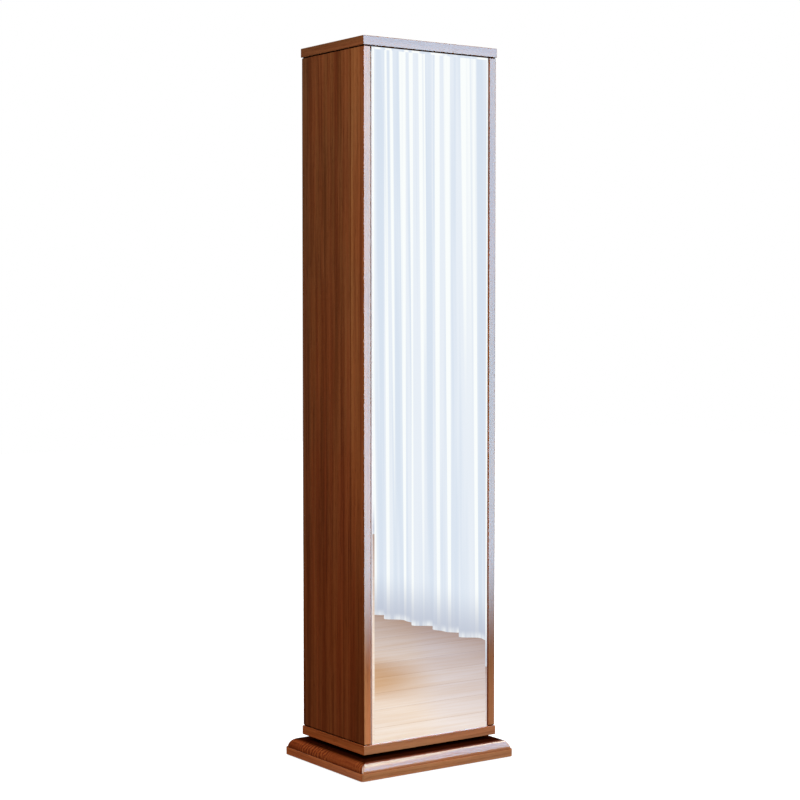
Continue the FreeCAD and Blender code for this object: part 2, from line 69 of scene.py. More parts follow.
# Layers of the figure: features per metre across the grain and along it, detail, roughness.
FIGURE = {
    "streak": (90.0, 1.8, 4.0, 0.58),
    "broad": (24.0, 0.8, 2.0, 0.5),
    "fibre": (900.0, 14.0, 3.0, 0.6),
    "vein": (170.0, 2.6, 1.0, 0.5),
    "fleck": (260.0, 24.0, 1.0, 0.5),
    "pore": (1500.0, 38.0, 1.0, 0.5),
    "drift": (48.0, 1.4, 2.0, 0.5),
    "stray": (60.0, 46.0, 3.0, 0.5),
    "patch": (120.0, 60.0, 2.0, 0.5),
}
FIGURE_WEIGHTS = {"streak": 0.55, "broad": 0.38, "fibre": 0.20, "vein": -0.07, "fleck": -0.07, "pore": -0.14}
# Levels of noise where these layers' dark marks start and where they are full.
DARK_MARKS = {"vein": (0.57, 0.70), "fleck": (0.62, 0.74), "pore": (0.60, 0.72)}
SWAY_PER_METRE = 3.5          # how often the grain sways along its run
SWAY_DEPTH = 0.010
SWAY_SEED = 7.0
GRAIN_DEPTH = 0.00006
COAT_WEIGHT = 0.6
RUBBED_COAT_WEIGHT = 0.03     # faces that look along X, rubbed down to satin
COAT_ROUGHNESS = 0.07
SATIN_ROUGHNESS = 0.22        # the sides' lacquer
VENEER_ROUGHNESS = (-0.6, 0.5, 0.52, 0.40)        # heights of the grain, then the roughness there
DRIFT_LEVELS = (0.35, 0.65)
CLOUDS_PER_METRE = 5.0
CLOUD_LEVELS = (0.35, 0.7, 0.0, 0.3)              # levels of noise, then the share of WARM_CLOUD there
# How far a normal points along an axis: where a face counts as looking that way, and over which
# span a look changes softly round an edge.
LOOKS_THAT_WAY = 0.7
EDGE_TURN = (0.5, 0.85)
SOFT_TURN = (0.5, 0.8)

# The moulding's cross figure: arched bands across the grain, in patches along the run.
RIPPLE_PITCH = 0.0105
RIPPLE_BOW = 26.0
RIPPLE_STRAY = 0.024
RIPPLE_UNEVEN = (0.32, 0.62, 0.35, 1.25)          # levels of noise, then the strength there
RIPPLE_PATCHES_PER_METRE = 9.0
RIPPLE_PATCHES = (0.42, 0.56, 0.02, 0.23)         # levels of noise, then the strength there
MITRE_HIGHLIGHT_WIDTH = 0.0035           # painted highlight along its mitres, this far to each side, standing in for a rounded corner's gloss
MITRE_HIGHLIGHT_SLOPES = ((0.05, 0.30), (0.90, 0.60))        # where the line starts and is full, by how far it looks up
MITRE_HIGHLIGHT_SHARE = 0.7
MITRE_HIGHLIGHT_TONE = (0.95, 0.80, 0.64, 1.0)

# Tones of a tall side: a dull band at the rear and a strip along the front, with a joint between.
REAR_BAND = (0.040, 0.022)    # where it starts and is full, from the rear edge
FRONT_STRIP = (0.053, 0.047)  # the same from the front edge
FRONT_JOINT = 0.052
JOINT_LINE = (0.003, 0.001)   # where it starts and is full, from its middle
JOINT_TONE = 0.8
# Heights between which each low tone turns into the high one: painted light, paler up the face and the front
# strip and lighter down the front edges.
FACE_HEIGHTS = (0.35, 1.5)
STRIP_HEIGHTS = (0.20, 0.80)
EDGE_HEIGHTS = (0.02, 0.40)
FACE_LOW_TONE = (1.0, 1.0, 1.05, 1.0)
FACE_HIGH_TONE = (1.0, 1.30, 1.60, 1.0)
REAR_TONE = (0.76, 0.86, 0.98, 1.0)
STRIP_LOW_TONE = (0.76, 0.70, 0.66, 1.0)
STRIP_HIGH_TONE = (1.36, 1.46, 1.50, 1.0)
# Painted light on the sides' front edges: lighter low down, darker higher up.
EDGE_LOW_TONE = 1.40
EDGE_HIGH_TONE = 0.68
SEAM_SHADE = (0.0035, 0.0020)       # where the painted shade of a seam starts and is full, from a side's end
RIM = 0.012                   # depth of the strips that show past the mirror's edges
UPPER_FACE_SHADE = (0.80, 0.97)     # how far a face of the base looks up: where its painted shade starts, and is full

# ---------------------------------------------------------------- mirror
SILVER = (0.955, 0.965, 0.960, 1.0)
FILM_PER_METRE = 9.0
FILM_ROUGHNESS = (0.3, 0.8, 0.004, 0.012)         # levels of noise, then the roughness there
GROUND_ROUGHNESS = 0.3
GLASS_EDGE = (0.93, 0.97, 0.97, 1.0)
EDGE_GLOW = 0.56              # painted glow: emission on the ground edges, standing in for light that the glass carries there
# Colour of that painted glow by share of the height: warm like the reflected floor, then cool like the
# drapes.
EDGE_LIGHT = ((0.18, (0.64, 0.26, 0.10, 1.0)), (0.25, (0.81, 0.89, 1.0, 1.0)),
              (0.42, (0.81, 0.89, 1.0, 1.0)), (0.60, (0.47, 0.57, 0.66, 1.0)))

# ---------------------------------------------------------------- studio
FLOOR_REACH = 9.0
FLOOR_GLOW = 0.80             # what the camera sees of the floor before the lamps' light
FLOOR_SHADE = 0.56            # how strongly the floor shows light and shadow to the camera
FLOOR_BOUNCE = 0.20           # how much light the floor throws back on the cabinet
SKY_LEVEL = 0.85              # light from straight above; it falls to nothing at the horizon

# What gloss and the mirror see of the floor: planks along X, with painted shade darker towards the drape
# that the mirror shows.
FLOOR_WARM = ((0.28, (0.98, 0.85, 0.75, 1.0)), (0.56, (0.80, 0.68, 0.62, 1.0)),
              (0.80, (0.66, 0.55, 0.51, 1.0)), (1.0, (0.50, 0.37, 0.32, 1.0)))
PLANK_WIDTH = 0.17
PLANK_GAP = 0.02              # the dark gap's share of a plank's width
PLANK_STEP = 5.3              # moves each plank's tone apart from its neighbour's
PLANK_GRAIN = (3.0, 34.0)     # features per metre along and across
GRAIN_TONE = (0.95, 0.89, 0.82, 1.0)
PLANK_TONE = (0.92, 0.88, 0.86, 1.0)
GAP_TONE = (0.82, 0.76, 0.72, 1.0)
COOL_TONE = (0.97, 1.01, 1.10, 1.0)
COOL_ASIDE = (-0.10, 0.0)     # where the cool tone starts and is full
# Painted reflection: a warm patch on the floor that gloss and the mirror show, standing in for a warm
# reflection there.
WARM_PATCH_TONE = (0.79, 0.60, 0.42, 1.0)
AHEAD = (0.557, -0.83)        # on the floor, the way the mirror throws the photo camera's view
ASIDE = (0.83, 0.557)         # on the floor, towards the right of the picture in the mirror
WARM_PATCH_ASIDE = -0.25      # the patch's middle
WARM_PATCH_AHEAD = 1.10
WARM_PATCH_STRETCH = 1.6
WARM_PATCH_REACH = (0.42, 0.12)                   # where it starts and is full
DARK_BEHIND = (-0.35, 0.25, 0.12, 1.0)            # painted pool of light, dimming behind the cabinet: reaches ahead, then the reflected floor's level there

# Drapes on all four sides. They show in gloss and in the mirror alone.
DRAPE_RIGHT_X = 1.065         # the drape that the mirror shows hangs in this plane
DRAPE_LEFT_X = -2.6
DRAPE_FRONT_Y = -5.0
DRAPE_REAR_Y = 2.6
DRAPE_TOP = 3.4
DRAPE_STEP = 0.01
DRAPE_FOLDS = ((0.018, 0.137), (0.010, 0.083))    # depth and pitch of the folds in plan
DRAPE_SLANT = 0.012
DRAPE_HEM = (0.16, 0.0, 0.0, 0.8)                 # heights, then the share of the hem's shade there
DRAPE_MIDDLE_Y = -1.62        # the folds show most here, where the photo camera sees them in the mirror
DRAPE_PLAIN = (0.38, 0.60, 0.0, 0.8)              # distances from there, then the share of plain light
DRAPE_SHADE = (0.78, 0.86, 0.98, 1.0)
DRAPE_HALF = (0.91, 0.96, 1.04, 1.0)
DRAPE_LIGHT = (1.08, 1.10, 1.10, 1.0)
DRAPE_HEM_SHADE = (0.56, 0.60, 0.72, 1.0)
# Bands of light and shade down the drapes: features per metre along and up, seed, detail, and the
# levels of noise where they start and where they are full.
BANDS = {
    "shade": (24.0, 0.5, 1.0, 2.0, 0.38, 0.62),
    "broad": (9.0, 0.25, 4.0, 1.0, 0.56, 0.74),
    "narrow": (36.0, 0.25, 7.0, 0.0, 0.58, 0.68),
    "crease": (70.0, 0.4, 9.0, 1.0, 0.60, 0.72),
    "ruffle": (30.0, 0.0, 11.0, 2.0, 0.35, 0.65),
}
CREASE_SHARE = 0.5
RUFFLE_SHARE = (0.1, 0.7)
RUFFLE_HEIGHT = (0.024, 0.002)                    # where the hem's pale ruffle starts and is full

# ---------------------------------------------------------------- lamps
COOL_WINDOW = (0.42, 0.72, 1.0)
PALE_WINDOW = (0.42, 0.84, 1.18)
WARM_WINDOW = (0.85, 1.0, 0.92)
CROWN_STARTS = 0.36           # share of the window's height where its brighter, warmer crown starts
CROWN_FULL = 0.42
CROWN_TINT = (2.4, 1.5, 1.0, 1.0)
WINDOW_X = DRAPE_RIGHT_X - 0.010
WINDOW_BOTTOM, WINDOW_TOP = 0.40, 3.05
WINDOW_NEAR_Y, WINDOW_END_Y, GLINT_END_Y = -3.10, -0.35, 0.10
NEAR_SPREAD = math.radians(150)
EDGE_LAMP_Y = side_low.y - 0.006
EDGE_LAMP_WIDTH = 0.368
EDGE_LAMP_BOTTOM, EDGE_LAMP_TOP = 0.216, cad_high.z + 0.020
EDGE_LAMP_FADE = 0.19         # share of its height over which it fades out at the bottom
TOP_LAMP_Y = -0.132
TOP_LAMP_WIDTH = 0.370
TOP_LAMP_BOTTOM, TOP_LAMP_TOP = cad_high.z - 0.026, cad_high.z


# ---------------------------------------------------------------- node helpers
class Finish:
    """One procedural material: short calls that add its nodes and link them."""

    def __init__(self, name):
        self.material = bpy.data.materials.new(name)
        self.material.use_nodes = True
        self.tree = self.material.node_tree
        self.surface = self.tree.nodes["Principled BSDF"]
        coordinates = self.node("ShaderNodeTexCoord")
        self.place = coordinates.outputs["Object"]
        self.facing = coordinates.outputs["Normal"]

    def node(self, kind, **settings):
        made = self.tree.nodes.new(kind)
        for name, value in settings.items():
            setattr(made, name, value)
        return made

    def feed(self, socket, value):
        if isinstance(value, bpy.types.NodeSocket):
            self.tree.links.new(value, socket)
        else:
            socket.default_value = value

    def set(self, **values):
        """Sets or links the surface shader's own sockets, named with _ for spaces."""
        for name, value in values.items():
            self.feed(self.surface.inputs[name.replace("_", " ")], value)

    def math(self, operation, *values):
        made = self.node("ShaderNodeMath", operation=operation)
        for socket, value in zip(made.inputs, values):
            self.feed(socket, value)
        return made.outputs["Value"]

    def vector(self, operation, *values):
        made = self.node("ShaderNodeVectorMath", operation=operation)
        for socket, value in zip(made.inputs, values):
            self.feed(socket, value)
        return made.outputs["Vector"]

    def length(self, vector):
        made = self.node("ShaderNodeVectorMath", operation="LENGTH")
        self.feed(made.inputs["Vector"], vector)
        return made.outputs["Value"]

    def absolute(self, value):
        return self.math("ABSOLUTE", value)

    def product(self, first, second):
        return self.math("MULTIPLY", first, second)

    def split(self, vector):
        made = self.node("ShaderNodeSeparateXYZ")
        self.feed(made.inputs["Vector"], vector)
        return made.outputs["X"], made.outputs["Y"], made.outputs["Z"]

    def join(self, x, y, z):
        made = self.node("ShaderNodeCombineXYZ")
        for socket, value in zip(made.inputs, (x, y, z)):
            self.feed(socket, value)
        return made.outputs["Vector"]

    def noise(self, place, scale=1.0, detail=2.0, roughness=0.5):
        made = self.node("ShaderNodeTexNoise")
        self.feed(made.inputs["Vector"], place)
        made.inputs["Scale"].default_value = scale
        made.inputs["Detail"].default_value = detail
        made.inputs["Roughness"].default_value = roughness
        return made.outputs["Fac"]

    def spread(self, value, low, high, to_low=0.0, to_high=1.0):
        """Maps low..high of value to to_low..to_high, with a soft start and end."""
        made = self.node("ShaderNodeMapRange", interpolation_type="SMOOTHSTEP")
        for name, number in (("Value", value), ("From Min", low), ("From Max", high),
                             ("To Min", to_low), ("To Max", to_high)):
            self.feed(made.inputs[name], number)
        return made.outputs["Result"]

    def choose(self, share, first, second, kind="RGBA", blend="MIX"):
        """A mix of two colours or, with kind VECTOR, of two vectors."""
        made = self.node("ShaderNodeMix", data_type=kind, blend_type=blend, clamp_factor=True)
        self.feed(made.inputs["Factor"], share)
        ends = [socket for socket in made.inputs if socket.type == kind and socket.name in ("A", "B")]
        self.feed(ends[0], first)
        self.feed(ends[1], second)
        return [socket for socket in made.outputs if socket.type == kind][0]

    def tint(self, share, colour, tone):
        """Multiplies a colour by a tone, as far as the share says."""
        return self.choose(share, colour, tone, blend="MULTIPLY")

    def ramp(self, value, stops, kind="B_SPLINE"):
        made = self.node("ShaderNodeValToRGB")
        made.color_ramp.interpolation = kind
        points = made.color_ramp.elements
        while len(points) < len(stops):
            points.new(1.0)
        for point, (position, colour) in zip(points, stops):
            point.position = position
            point.color = colour
        self.feed(made.inputs["Fac"], value)
        return made.outputs["Color"]

    def bump(self, height, depth, strength=1.0):
        made = self.node("ShaderNodeBump")
        made.inputs["Strength"].default_value = strength
        made.inputs["Distance"].default_value = depth
        self.feed(made.inputs["Height"], height)
        return made.outputs["Normal"]

    def emit(self, colour, strength):
        """An emission shader, for stage pieces that aren't lit."""
        made = self.node("ShaderNodeEmission")
        self.feed(made.inputs["Color"], colour)
        self.feed(made.inputs["Strength"], strength)
        return made.outputs["Emission"]

    def matt(self, colour):
        made = self.node("ShaderNodeBsdfDiffuse")
        self.feed(made.inputs["Color"], colour)
        return made.outputs["BSDF"]

    def blend(self, share, first, second):
        made = self.node("ShaderNodeMixShader")
        for socket, value in zip(made.inputs, (share, first, second)):
            self.feed(socket, value)
        return made.outputs["Shader"]

    def finish_with(self, shader):
        """Puts another shader in the place of the surface shader."""
        self.feed(self.tree.nodes["Material Output"].inputs["Surface"], shader)
        self.tree.nodes.remove(self.surface)


def grey(level):
    return (level, level, level, 1.0)


def dress(finish, *names):
    for name in names:
        slots = nodes[name].material_slots
        if not slots:
            nodes[name].data.materials.append(finish.material)
        for slot in slots:
            slot.material = finish.material


# ---------------------------------------------------------------- walnut lacquer
def grain_place(finish, along, seed):
    """Object coordinates turned so that the third one runs along the grain, moved apart by the seed."""
    axes = list(finish.split(finish.place))
    run = axes.pop(AXIS_OF[along])
    turned = finish.join(axes[0], axes[1], run)
    return finish.vector("ADD", turned, (seed * 1.37, seed * 2.11, seed * 0.73))


def layer(finish, grain, name):
    """One layer of the figure: noise drawn out along the grain."""
    across, along, detail, roughness = FIGURE[name]
    place = finish.vector("MULTIPLY", grain, (across, across, along))
    return finish.noise(place, detail=detail, roughness=roughness)


def walnut_figure(finish, grain):
    """Colour value and bump height of the wood for coordinates whose third one runs along the grain."""
    run = finish.product(finish.split(grain)[2], SWAY_PER_METRE)
    sway = finish.noise(finish.join(0.0, SWAY_SEED, run), detail=2.0)
    grain = finish.vector("MULTIPLY_ADD", finish.join(sway, sway, 0.0), (SWAY_DEPTH, SWAY_DEPTH, 0.0), grain)
    layers = {name: layer(finish, grain, name) for name in FIGURE_WEIGHTS}
    for name, (starts, full) in DARK_MARKS.items():
        layers[name] = finish.spread(layers[name], starts, full)
    value = 0.0
    for name, weight in FIGURE_WEIGHTS.items():
        value = finish.math("MULTIPLY_ADD", layers[name], weight, value)
    height = finish.math("MULTIPLY_ADD", layers["pore"], -1.0, finish.product(layers["fibre"], 0.4))
    return value, height


def ripple(finish, grain):
    """Bands across the grain, bowed where the surface curves, which fade in and out along the run."""
    run = finish.split(grain)[2]
    middle_z = (moulding_low.z + moulding_high.z) / 2
    lift = finish.math("SUBTRACT", finish.split(finish.place)[2], middle_z)
    bowed = finish.math("MULTIPLY_ADD", finish.product(lift, lift), RIPPLE_BOW, run)
    bowed = finish.math("MULTIPLY_ADD", layer(finish, grain, "stray"), RIPPLE_STRAY, bowed)
    wave = finish.math("SINE", finish.product(bowed, 2 * math.pi / RIPPLE_PITCH))
    wave = finish.product(wave, finish.spread(layer(finish, grain, "patch"), *RIPPLE_UNEVEN))
    patches = finish.join(0.0, 0.0, finish.product(run, RIPPLE_PATCHES_PER_METRE))
    return finish.product(wave, finish.spread(finish.noise(patches, detail=0.0), *RIPPLE_PATCHES))


def mitre_distances(finish, half):
    """How far a point lies inside the end and inside the front of a frame of this half size."""
    x, y, _ = finish.split(finish.place)
    from_end = finish.math("SUBTRACT", half[0], finish.absolute(x))
    from_front = finish.math("SUBTRACT", half[1], finish.absolute(y))
    return from_end, from_front


def painted_mitre_highlight(finish, half):
    """Share of a painted highlight: a pale line along the moulding's mitred corners, standing in for the
    gloss of a rounded corner.
    """
    slope = finish.split(finish.facing)[2]
    from_end, from_front = mitre_distances(finish, half)
    from_mitre = finish.absolute(finish.math("SUBTRACT", from_end, from_front))
    line = finish.spread(from_mitre, MITRE_HIGHLIGHT_WIDTH, MITRE_HIGHLIGHT_WIDTH * 0.3)
    from_below, from_above = [finish.spread(slope, *levels) for levels in MITRE_HIGHLIGHT_SLOPES]
    curved = finish.product(from_below, from_above)
    return finish.product(finish.product(line, curved), MITRE_HIGHLIGHT_SHARE)


def turned_share(finish, cross_along, mitre_half):
    """1 where the grain is turned, on the faces that look along X or past the mitres; None for none."""
    if mitre_half is not None:
        return finish.math("LESS_THAN", *mitre_distances(finish, mitre_half))
    if cross_along is not None:
        return finish.math("GREATER_THAN", finish.absolute(finish.split(finish.facing)[0]), LOOKS_THAT_WAY)
    return None


def walnut(name, along, seed, tone, edge_tone, cross_along=None, mitre_half=None,
           strips=False, rubbed=False, rippled=False, painted_shade=None, edge_palette=PALE_EDGE):
    """Lacquered walnut with its grain along one axis.

    cross_along turns the grain on the faces that look along X, as edge veneer does. mitre_half, half
    a frame's size, turns it at the mitres. strips tones a tall side from front to rear and paints light
    and shade on it from bottom to top. rubbed makes the faces that look along X satin. rippled adds the
    moulding's cross figure and a painted highlight along the mitres. painted_shade gives the share of
    painted shade, dark and without coat, in seams and recesses."""
    finish = Finish(name)
    outward_x, outward_y, _ = [finish.absolute(part) for part in finish.split(finish.facing)]
    grain = grain_place(finish, along, seed)
    turned = turned_share(finish, cross_along, mitre_half)
    if turned is not None:
        crossing = grain_place(finish, cross_along or "y", seed + 3.0)
        grain = finish.choose(turned, grain, crossing, "VECTOR")
    value, height = walnut_figure(finish, grain)
    if rippled:
        value = finish.math("MULTIPLY_ADD", ripple(finish, grain), turned, value)
    deep = finish.tint(1.0, finish.ramp(value, DEEP_VENEER), tone)
    pale = finish.tint(1.0, finish.ramp(value, edge_palette), edge_tone)
    if strips:
        deep = finish.tint(1.0, deep, broad_face_tone_and_light(finish))
        pale = finish.tint(1.0, pale, front_edge_painted_light(finish))
    colour = finish.choose(finish.spread(outward_y, *EDGE_TURN), deep, pale)
    # Painted highlight: a pale line along the mitres, standing in for the gloss on a rounded corner.
    if rippled:
        colour = finish.choose(painted_mitre_highlight(finish, mitre_half), colour, MITRE_HIGHLIGHT_TONE)
    coat = COAT_WEIGHT
    if rubbed:
        satin = finish.spread(outward_x, *SOFT_TURN) if mitre_half is None else turned
        coat = finish.spread(satin, 0.0, 1.0, COAT_WEIGHT, RUBBED_COAT_WEIGHT)
    # Painted shade: dark colour and no coat where shade falls in seams and recesses.
    if painted_shade is not None:
        dark = painted_shade(finish)
        colour = finish.tint(dark, colour, PAINTED_SHADE_TONE)
        coat = finish.product(coat, finish.math("SUBTRACT", 1.0, dark))
    drift = finish.spread(layer(finish, grain, "drift"), *DRIFT_LEVELS)
    colour = finish.tint(1.0, colour, finish.choose(drift, RED_DRIFT, OLIVE_DRIFT))
    cloud = finish.spread(finish.noise(finish.place, CLOUDS_PER_METRE), *CLOUD_LEVELS)
    finish.set(Base_Color=finish.tint(cloud, colour, WARM_CLOUD), Specular_IOR_Level=0.0,
               Roughness=finish.spread(height, *VENEER_ROUGHNESS),
               Coat_Weight=coat, Coat_Roughness=SATIN_ROUGHNESS if strips else COAT_ROUGHNESS, Coat_IOR=1.5,
               Normal=finish.bump(height, GRAIN_DEPTH, 0.5))
    return finish


def broad_face_tone_and_light(finish):
    """Tone of a side's veneer: dull at the rear and a strip along the front; painted light makes the face
    yellower and the strip paler towards the top, and the strip darker low down.
    """
    _, y, z = finish.split(finish.place)
    rear = finish.spread(y, *[side_high.y - inward for inward in REAR_BAND])
    front = finish.spread(y, *[side_low.y + inward for inward in FRONT_STRIP])
    from_joint = finish.absolute(finish.math("SUBTRACT", y, side_low.y + FRONT_JOINT))
    # Painted light: the face and the front strip are paler towards the top, the strip darker low down.
    tone = finish.choose(finish.spread(z, *FACE_HEIGHTS), FACE_LOW_TONE, FACE_HIGH_TONE)
    tone = finish.tint(rear, tone, REAR_TONE)
    strip = finish.choose(finish.spread(z, *STRIP_HEIGHTS), STRIP_LOW_TONE, STRIP_HIGH_TONE)
    tone = finish.tint(front, tone, strip)
    return finish.choose(finish.spread(from_joint, *JOINT_LINE), tone, grey(JOINT_TONE))


def front_edge_painted_light(finish):
    """Painted light on the sides' edge veneer: lighter low down and darker higher up, where the sheen lamp
    adds its gloss.
    """
    z = finish.split(finish.place)[2]
    return finish.choose(finish.spread(z, *EDGE_HEIGHTS), grey(EDGE_LOW_TONE), grey(EDGE_HIGH_TONE))


def seam_shade(finish):
    """Painted shade: dark lines where a side meets the top and the bottom board, where their shadow gap
    falls.
    """
    z = finish.split(finish.place)[2]
    above = finish.spread(z, *[side_high.z - inward for inward in SEAM_SHADE])
    below = finish.spread(z, *[side_low.z + inward for inward in SEAM_SHADE])
    return finish.math("MAXIMUM", above, below)


def upper_face_shade(finish):
    """Painted shade on the base's faces that look up into the gap under the cabinet."""
    return finish.spread(finish.split(finish.facing)[2], *UPPER_FACE_SHADE)


def front_underside_shade(finish):
    """Painted shade on the front strip of the top board's underside, over the mirror and the sides."""
    down = finish.math("LESS_THAN", finish.split(finish.facing)[2], -LOOKS_THAT_WAY)
    in_front = finish.math("LESS_THAN", finish.split(finish.place)[1], side_low.y + RIM)
    return finish.product(down, in_front)


def looks_forward(finish):
    """1 on the faces that look the way the mirror looks."""
    return finish.math("LESS_THAN", finish.split(finish.facing)[1], -LOOKS_THAT_WAY)


def rim_shade_behind_mirror(finish):
    """Painted shade on the top of the backing board's front, seen through the gap over the mirror."""
    above = finish.math("GREATER_THAN", finish.split(finish.place)[2], side_high.z - RIM)
    return finish.product(looks_forward(finish), above)


def lit_rims_beside_mirror(finish):
    """Painted light: pale strips of the backing board's front, seen through the gaps beside the mirror,
    which lighten those gaps.
    """
    x, _, z = finish.split(finish.place)
    beside = finish.math("GREATER_THAN", finish.absolute(x), glass_high.x - 0.001)
    under_top_gap = finish.math("LESS_THAN", z, side_high.z - RIM)
    return finish.product(finish.product(looks_forward(finish), beside), under_top_gap)


def backing_board():
    """Dark veneer with painted light in pale strips beside the mirror and painted shade in the strip over
    it.
    """
    finish = walnut("walnut_back", "z", seed=9.0, tone=grey(1.2), edge_tone=grey(1.4),
                    painted_shade=rim_shade_behind_mirror, edge_palette=DEEP_VENEER)
    veneer = finish.surface.inputs["Base Color"].links[0].from_socket
    finish.set(Base_Color=finish.choose(lit_rims_beside_mirror(finish), veneer, PAINTED_RIM_LIGHT))
    return finish


dress(walnut("walnut_left_side", "z", seed=1.0, tone=grey(1.0), edge_tone=grey(1.12),
             strips=True, rubbed=True, painted_shade=seam_shade), "side_panel_left")
dress(walnut("walnut_right_side", "z", seed=1.5, tone=grey(1.0), edge_tone=grey(0.70),
             strips=True, rubbed=True, painted_shade=seam_shade), "side_panel_right")
dress(walnut("walnut_top", "x", seed=2.0, tone=(1.19, 1.80, 2.60, 1.0), edge_tone=grey(0.64),
             cross_along="y", rubbed=True, painted_shade=front_underside_shade), "top_board")
dress(walnut("walnut_bottom", "x", seed=3.0, tone=grey(1.6), edge_tone=grey(0.92),
             cross_along="y", rubbed=True), "bottom_board")
dress(walnut("walnut_plinth", "x", seed=4.0, tone=(2.75, 3.4, 3.2, 1.0), edge_tone=grey(1.10),
             mitre_half=plinth_high, painted_shade=upper_face_shade), "base_plinth")
dress(walnut("walnut_moulding", "x", seed=6.0, tone=(1.12, 1.02, 0.95, 1.0), edge_tone=grey(1.05),
             mitre_half=moulding_high, rubbed=True, rippled=True, painted_shade=upper_face_shade), "base_moulding")
dress(walnut("walnut_shelves", "x", seed=8.0, tone=grey(1.35), edge_tone=grey(0.85)),
      "shelf_lower", "shelf_middle", "shelf_hat", "hook_rail")
dress(backing_board(), "mirror_backing_board")


# ---------------------------------------------------------------- mirror, metal and small parts
def mirror():
    """Silvered glass: the face and its bevel reflect; the ground edges are pale glass with a painted glow.
    """
    finish = Finish("mirror_silver")
    face = finish.spread(finish.absolute(finish.split(finish.facing)[1]), *SOFT_TURN)
    edge = finish.math("SUBTRACT", 1.0, face)
    polish = finish.spread(finish.noise(finish.place, FILM_PER_METRE, detail=3.0), *FILM_ROUGHNESS)
    share_of_height = finish.math("DIVIDE", finish.split(finish.place)[2], side_high.z)
    edge_light = finish.ramp(share_of_height, EDGE_LIGHT, "LINEAR")
    finish.set(Emission_Color=finish.choose(face, edge_light, grey(0.0)), Emission_Strength=EDGE_GLOW,
               Base_Color=finish.choose(face, GLASS_EDGE, SILVER), Metallic=face,
               Roughness=finish.math("MULTIPLY_ADD", edge, GROUND_ROUGHNESS, polish))
    return finish


def metal(name, colour, worn, rough, scale=400.0, depth=0.00002):
    """Metal with fine uneven brushing and a slightly duller patchy film."""
    finish = Finish(name)
    patch = finish.noise(finish.place, scale * 0.2, detail=4.0)
    fine = finish.noise(finish.place, scale * 4.0, detail=3.0)
    finish.set(Base_Color=finish.choose(finish.spread(patch, 0.4, 0.65), colour, worn), Metallic=1.0,
               Roughness=finish.spread(patch, 0.3, 0.7, rough, rough + 0.14),
               Normal=finish.bump(fine, depth, 0.4))
    return finish


def moulded(name, colour, shade, rough, scale=900.0, depth=0.00005):
    """Plastic, rubber or foam with a fine moulded texture."""
    finish = Finish(name)
    speck = finish.noise(finish.place, scale, detail=4.0, roughness=0.65)
    finish.set(Base_Color=finish.choose(finish.spread(speck, 0.35, 0.65), colour, shade),
               Roughness=finish.spread(speck, 0.3, 0.7, rough - 0.06, rough + 0.06),
               Normal=finish.bump(speck, depth, 0.6))
    return finish


def named(*words):
    """The nodes whose names hold one of the words."""
    return [name for name in nodes if any(word in name for word in words)]


dress(mirror(), "mirror_glass")
# Painted shade: the rings are darker than bare aluminium, so that they stay dark in the shaded gap under the
# cabinet.
dress(metal("ring_aluminium", (0.44, 0.44, 0.45, 1.0), (0.34, 0.34, 0.35, 1.0), 0.36),
      "bearing_outer_ring", "bearing_inner_ring")
dress(metal("ball_steel", (0.86, 0.87, 0.88, 1.0), (0.80, 0.81, 0.83, 1.0), 0.08), "bearing_balls")
dress(metal("antique_brass", (0.52, 0.37, 0.16, 1.0), (0.26, 0.17, 0.07, 1.0), 0.30), *named("coat_hook"))
dress(metal("zinc_plate", (0.72, 0.72, 0.68, 1.0), (0.60, 0.60, 0.55, 1.0), 0.26),
      *named("screw", "bolt", "cam", "pin", "lock"))
dress(moulded("cage_nylon", (0.70, 0.68, 0.62, 1.0), (0.62, 0.60, 0.54, 1.0), 0.45), "bearing_cage")
dress(moulded("pad_rubber", (0.035, 0.034, 0.033, 1.0), (0.055, 0.053, 0.05, 1.0), 0.75), "foot_pads")
dress(moulded("foam_tape", (0.80, 0.80, 0.78, 1.0), (0.70, 0.70, 0.68, 1.0), 0.9), "mirror_foam_tape")
dress(moulded("dowel_beech", (0.62, 0.42, 0.24, 1.0), (0.52, 0.34, 0.19, 1.0), 0.6), *named("dowel"))


# ---------------------------------------------------------------- floor and drapes
def stage_mesh(name, faces, finish):
    """A mesh that isn't part of the object, from the corners of each of its faces."""
    mesh = bpy.data.meshes.new(name)
    form = bmesh.new()
    for corners in faces:
        form.faces.new([form.verts.new(corner) for corner in corners])
    form.to_mesh(mesh)
    form.free()
    made = bpy.data.objects.new(name, mesh)
    bpy.context.scene.collection.objects.link(made)
    made.data.materials.append(finish.material)
    return made


def planks(finish, x, y):
    """Warm boards in rows, each a little different, with painted shade darker towards the drape that the
    mirror shows.
    """
    warm = finish.ramp(finish.math("DIVIDE", x, DRAPE_RIGHT_X), FLOOR_WARM, "LINEAR")
    per_metre_along, per_metre_across = PLANK_GRAIN
    place = finish.join(finish.product(x, per_metre_along), finish.product(y, per_metre_across), 0.0)
    figure = finish.noise(place, detail=5.0, roughness=0.62)
    warm = finish.tint(finish.spread(figure, 0.36, 0.68), warm, GRAIN_TONE)
    rows = finish.math("DIVIDE", y, PLANK_WIDTH)
    row = finish.product(finish.math("FLOOR", rows), PLANK_STEP)
    plank = finish.noise(finish.join(row, 0.0, 0.0), detail=0.0)
    warm = finish.tint(finish.spread(plank, 0.35, 0.65), warm, PLANK_TONE)
    return finish.tint(finish.math("LESS_THAN", finish.math("FRACT", rows), PLANK_GAP), warm, GAP_TONE)


def reach_towards(finish, x, y, way):
    """How far a point of the floor lies from the cabinet's axis in this direction."""
    return finish.math("ADD", finish.product(x, way[0]), finish.product(y, way[1]))


